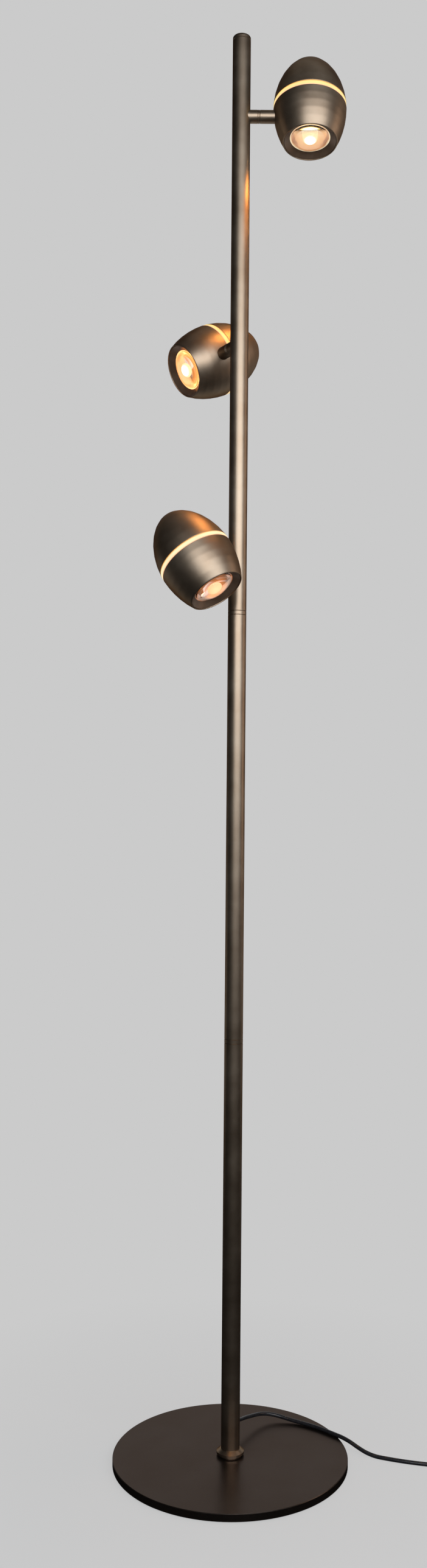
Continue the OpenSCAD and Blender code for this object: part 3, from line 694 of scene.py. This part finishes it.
def rear_outline():
    """The rear shell: its turned bands up to the closed end, and its wall back to the seam."""
    stations = dome_stations(RING_END, HEAD_LEN, REAR_BANDS)
    skin = [(r, t) for r, t in banded(stations, REAR_FLATNESS) if t > RING_END + 1]
    start, end = RING_END + SEAT_DEPTH, HEAD_LEN - SHELL_WALL
    stations = dome_stations(start, end, REAR_INNER_PARTS)
    wall = [(dome(t, HEAD_R - SHELL_WALL, end), t) for t in reversed(stations)]
    seat = [(SEAT_R, start), (SEAT_R, RING_END)]
    return to_head(seam_edge(RING_END, 1)[::-1] + skin + [(0, HEAD_LEN)] + wall + seat)


def ring_outline():
    """The glowing ring between the shells, with a slightly raised outer face."""
    inner_r = head_radius(RING_AT) - RING_DEPTH
    front = [(inner_r, RING_AT), (head_radius(RING_AT) - SEAM_INSET, RING_AT)]
    crown_at = (RING_AT + 0.6, 44, 45.5, RING_END - 0.6)
    crown = [(head_radius(t) - RING_CROWN_INSET, t) for t in crown_at]
    rear = [(head_radius(RING_END) - SEAM_INSET, RING_END), (inner_r, RING_END)]
    return to_head(front + crown + rear)


def cone_outline():
    """The cone from the mouth's lip to the lens's window, and the sleeve round the lens."""
    rim_r = LIP_BORE_R - INSERT_GAP
    rim = [(rim_r - 0.6, 0.8), (rim_r - 0.3, 0.85), (rim_r, 1.1)]
    sleeve = [(rim_r, INSERT_DEPTH), (SLEEVE_R, INSERT_DEPTH), (SLEEVE_R, LENS_AT + 0.35)]
    window = [(WINDOW_R + 0.35, LENS_AT + 0.3), (WINDOW_R, LENS_AT - 0.05)]
    return to_head(rim + sleeve + window)


def holder_outline():
    """The lens holder: its rim and back, and from its middle out the cup's lit face."""
    neck_end = BOARD_AT - HOLDER_GAP
    back = [
        (CUP_RIM_R, HOLDER_AT), (HOLDER_R, HOLDER_AT), (HOLDER_R, 9.8), (HOLDER_NECK_R, 12.6),
        (HOLDER_NECK_R, neck_end), (CUP_BORE_R, neck_end),
    ]
    cup = [(CUP_BORE_R, 12.7), (11, 11.4), (15, 10), (19, 8.7)]
    return to_head(back + cup)


def board_outline():
    """The light source's dome and the round board that it stands on."""
    rise = LENS_AT + LENS_EDGE - EMITTER_TOP
    turns = [math.pi / 2 * k / EMITTER_PARTS for k in range(EMITTER_PARTS + 1)]
    source = [(EMITTER_R * math.sin(a), EMITTER_TOP + rise * (1 - math.cos(a))) for a in turns]
    foot = [(EMITTER_R, BOARD_AT - 0.3), (EMITTER_R + 0.3, BOARD_AT)]
    edge_r = BOARD_R - BOARD_ROUNDING
    board = [
        (edge_r, BOARD_AT), (BOARD_R, BOARD_AT + BOARD_ROUNDING),
        (BOARD_R, BOARD_END - BOARD_ROUNDING), (edge_r, BOARD_END), (0, BOARD_END),
    ]
    return to_head(source + foot + board)


def lens_outline():
    """The lens: a domed front and a flat back. The light source stands inside it."""
    back = LENS_AT + LENS_EDGE
    sphere_r = (LENS_DOME_R**2 + LENS_DOME_H**2) / (2 * LENS_DOME_H)
    widest = math.asin(LENS_DOME_R / sphere_r)
    turns = [widest * k / LENS_DOME_PARTS for k in range(LENS_DOME_PARTS, -1, -1)]
    top = LENS_AT - LENS_DOME_H
    front = [(sphere_r * math.sin(a), top + sphere_r * (1 - math.cos(a))) for a in turns]
    return to_head([(0, back), (LENS_R, back), (LENS_R, LENS_AT)] + front)


def make_head(head, ring, cup, source, lens):
    """Makes a head's turned parts at its joint, and dresses its other nodes."""
    place = head_place(head)

    def turned(part, outline, material, sharp_angle=SHARP_ANGLE):
        piece = lathe(f"{part}_{head}_made", outline, material, place, sharp_angle)
        if part == "front_shell":
            cut_hole(piece, ARM_HOLE_R * MM, -ARM_HOLE_REACH * MM, 0)
        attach(piece, f"head_{head}")
        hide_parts(f"{part}_{head}")

    turned("front_shell", front_outline(), MATERIALS["shell"])
    turned("rear_shell", rear_outline(), MATERIALS["shell"])
    turned("front_cone", cone_outline(), MATERIALS["recess"])
    turned("glow_ring", ring_outline(), glowing_ring(f"glow_{head}", **ring))
    turned("lens_holder", holder_outline(), painted_glow_cup(f"cup_{head}", **cup))
    turned("led_board", board_outline(), light_source(f"source_{head}", **source))
    turned("lens", lens_outline(), MATERIALS[lens], LENS_SHARP_ANGLE)
    dress("alloy", f"heat_sink_{head}")
    dress("steel", f"board_screws_{head}", f"swivel_bolt_{head}")
    dress("arm", f"swivel_stub_{head}", f"arm_stub_{head}", f"swivel_ring_{head}")


WHITE_HOT = (1.0, 0.97, 0.90)

# The cups' and lenses' glows given below are painted light from each head's source.
make_head(
    "top",
    ring=dict(strength=0.95, middle=(1.0, 0.80, 0.30)),
    cup=dict(
        stops=(
            (0.0, (1.0, 0.80, 0.46)),
            (0.30, (0.92, 0.56, 0.30)),
            (0.75, (0.72, 0.34, 0.16)),
            (1.0, (1.0, 0.88, 0.62)),
        ),
        painted_shade_arc_colour=(0.42, 0.19, 0.10),
        arc_axis=X_AXIS,
    ),
    source=dict(
        strength=3.0,
        core_r=4.6,
        stops=(
            (0.0, WHITE_HOT),
            (0.70, WHITE_HOT),
            (0.86, (1.0, 0.90, 0.60)),
            (1.0, (1.0, 0.80, 0.46)),
        ),
    ),
    lens="lens",
)
make_head(
    "middle",
    ring=dict(strength=0.95, middle=(1.0, 0.74, 0.24)),
    cup=dict(
        stops=(
            (0.0, (1.0, 0.82, 0.44)),
            (0.35, (1.0, 0.66, 0.30)),
            (0.75, (0.90, 0.46, 0.18)),
            (1.0, (1.0, 0.80, 0.40)),
        ),
        painted_shade_arc_colour=(0.55, 0.22, 0.09),
        arc_axis=Y_AXIS,
    ),
    source=dict(
        strength=3.0,
        core_r=4.6,
        stops=(
            (0.0, WHITE_HOT),
            (0.70, WHITE_HOT),
            (0.86, (1.0, 0.92, 0.60)),
            (1.0, (1.0, 0.82, 0.44)),
        ),
    ),
    lens="edge_glow_painted_lens",
)
make_head(
    "bottom",
    ring=dict(strength=0.88, middle=(1.0, 0.92, 0.56)),
    cup=dict(
        stops=(
            (0.0, (0.96, 0.60, 0.32)),
            (0.32, (0.94, 0.50, 0.24)),
            (0.55, (0.60, 0.38, 0.26)),
            (0.80, (0.52, 0.40, 0.35)),
            (1.0, (0.50, 0.17, 0.06)),
        ),
        painted_shade_arc_colour=(0.30, 0.20, 0.15),
        arc_axis=Y_AXIS,
    ),
    source=dict(
        strength=1.0,
        core_r=3.0,
        stops=(
            (0.0, (0.98, 0.74, 0.42)),
            (0.5, (0.98, 0.68, 0.38)),
            (1.0, (0.96, 0.60, 0.32)),
        ),
    ),
    lens="core_glow_painted_lens",
)


# ---------- pole, base and what is on the cord ----------

dress("pole", "pole_lower", "pole_middle", "pole_upper", "joiner_lower", "joiner_upper", "top_cap")
dress("collar", "pole_collar")
dress("base", "base_plate")
dress("pad", "base_pad")
dress("steel", "foot_bolt", "foot_plug")
dress("cable", "inner_lead")
dress("rubber", "cord_grommet")
dress("moulding", "switch_body", "switch_button", "plug")
dress("tie", "coil_tie")
dress("nickel", "plug_pins")


# ---------- stage and light ----------

# Brightness of the room that metal sees on the other sides of the lamp. The backdrop's is 1.
ROOM_TONE = 0.015

# Where behind the lamp, for metal, the backdrop begins and is full: as the Y of a direction, and
# as the floor's Y in metres
SKY_BACKDROP = (0.45, 0.97)
FLOOR_BACKDROP = (0.3, 2.2)

# Near the lamp the floor also shows its own light and shadow. The share of the backdrop's even
# tone in it is SHADOW_TONE up to the first distance, in metres, and 1 beyond the second.
SHADOW_FADE = (0.16, 0.5)
SHADOW_TONE = 0.8

ROOM_FILL = (0.75, 0.77, 0.8, 1)
ROOM_FILL_STRENGTH = 0.35
FLOOR_COLOUR = (0.72, 0.72, 0.72, 1)
FLOOR_R = 8
FLOOR_DROP = 0.0002


def seen_rays(n, path):
    """1 for rays from the camera and for those seen in metal and through glass, 0 for others."""
    direct = n.math("MAXIMUM", path["Is Camera Ray"], path["Is Glossy Ray"])
    return n.math("MAXIMUM", direct, path["Is Transmission Ray"])


def backdrop_tone(n, path, place, begins, full):
    """1 for the pale backdrop. Metal also sees the darker room on the other sides of the lamp."""
    depth = n.split(place)[Y_AXIS]
    reach = n.remap(depth, begins, full, ROOM_TONE - 1, 0, interpolation_type="SMOOTHSTEP")
    return n.math("MULTIPLY_ADD", reach, path["Is Glossy Ray"], 1)


def make_world():
    """A pale backdrop to look at, and a soft fill light from all round."""
    world = bpy.data.worlds.new("studio")
    bpy.context.scene.world = world
    world.use_nodes = True
    n = Nodes(world.node_tree)
    n.tree.nodes.clear()
    path = n.add("ShaderNodeLightPath").outputs
    direction = n.add("ShaderNodeTexCoord").outputs["Generated"]
    fill = n.add("ShaderNodeBackground")
    n.put(fill.inputs["Color"], ROOM_FILL)
    n.put(fill.inputs["Strength"], ROOM_FILL_STRENGTH)
    backdrop = n.add("ShaderNodeBackground")
    n.put(backdrop.inputs["Color"], BACKGROUND)
    n.put(backdrop.inputs["Strength"], backdrop_tone(n, path, direction, *SKY_BACKDROP))
    shown = n.mix_shaders(seen_rays(n, path), fill.outputs[0], backdrop.outputs[0])
    n.put(n.add("ShaderNodeOutputWorld").inputs[0], shown)


def floor_material():
    """Pale grey that shows as the background, and takes the lamp's soft shadow near the base."""
    s = Surface("floor")
    s.set(Base_Color=FLOOR_COLOUR, Roughness=1.0, Specular_IOR_Level=0.0)
    path = s.add("ShaderNodeLightPath").outputs
    place = s.place()
    backdrop = s.add("ShaderNodeEmission")
    s.put(backdrop.inputs["Color"], BACKGROUND)
    s.put(backdrop.inputs["Strength"], backdrop_tone(s, path, place, *FLOOR_BACKDROP))
    distance = s.add("ShaderNodeVectorMath", operation="LENGTH")
    s.put(distance.inputs[0], place)
    fade = s.remap(distance.outputs["Value"], *SHADOW_FADE, SHADOW_TONE, 1.0)
    even = s.math("MAXIMUM", fade, path["Is Glossy Ray"])
    share = s.math("MULTIPLY", even, seen_rays(s, path))
    output = next(n for n in s.tree.nodes if n.type == "OUTPUT_MATERIAL")
    s.put(output.inputs[0], s.mix_shaders(share, s.shader.outputs[0], backdrop.outputs[0]))
    return s.material


def make_floor():
    mesh = bpy.data.meshes.new("floor")
    work = bmesh.new()
    bmesh.ops.create_circle(work, cap_ends=True, segments=64, radius=FLOOR_R)
    work.to_mesh(mesh)
    work.free()
    mesh.materials.append(floor_material())
    floor = add_object("floor", mesh)
    floor.location.z = -FLOOR_DROP


def soft_box(name, place, target, size, power, colour=(1, 1, 1)):
    """A rectangular light at a place, facing a target: (width, height) in metres, and watts."""
    data = bpy.data.lights.new(name, "AREA")
    data.shape = "RECTANGLE"
    data.size, data.size_y = size
    data.energy = power
    data.color = colour
    light = add_object(name, data)
    light.location = place
    aim = Vector(target) - Vector(place)
    light.rotation_euler = aim.to_track_quat("-Z", "Y").to_euler()
    light.visible_camera = False


make_world()
make_floor()
soft_box("key", (0.50, -1.7, 1.42), (0, 0, 1.2), (2.7, 1.1), 39, (0.94, 0.975, 1.01))
soft_box("side", (1.5, 0.15, 1.25), (0, 0, 1.2), (0.5, 1.3), 3.2, (1.0, 0.76, 0.60))
soft_box("over", (0.1, 0.4, 2.4), (0, 0, 0.8), (1.0, 1.0), 1)

BEAM_COLOUR = (1.0, 0.42, 0.10)
BEAM_SOURCE_R = 0.02
BEAM_AHEAD = 4


def beam(head, power, spread):
    """Warm light that leaves a head through its lens, from just in front of its mouth."""
    data = bpy.data.lights.new(f"beam_{head}", "SPOT")
    data.spot_size = math.radians(spread)
    data.spot_blend = 1.0
    data.shadow_soft_size = BEAM_SOURCE_R
    data.energy = power
    data.color = BEAM_COLOUR
    ahead = Matrix.Translation((0, 0, -(ARM_AT + BEAM_AHEAD) * MM))
    add_object(f"beam_{head}", data, head_place(head) @ ahead)


beam("top", 3.4, 140)
beam("middle", 0.35, 110)
beam("bottom", 0.25, 110)

bpy.context.scene.view_settings.view_transform = "Standard"
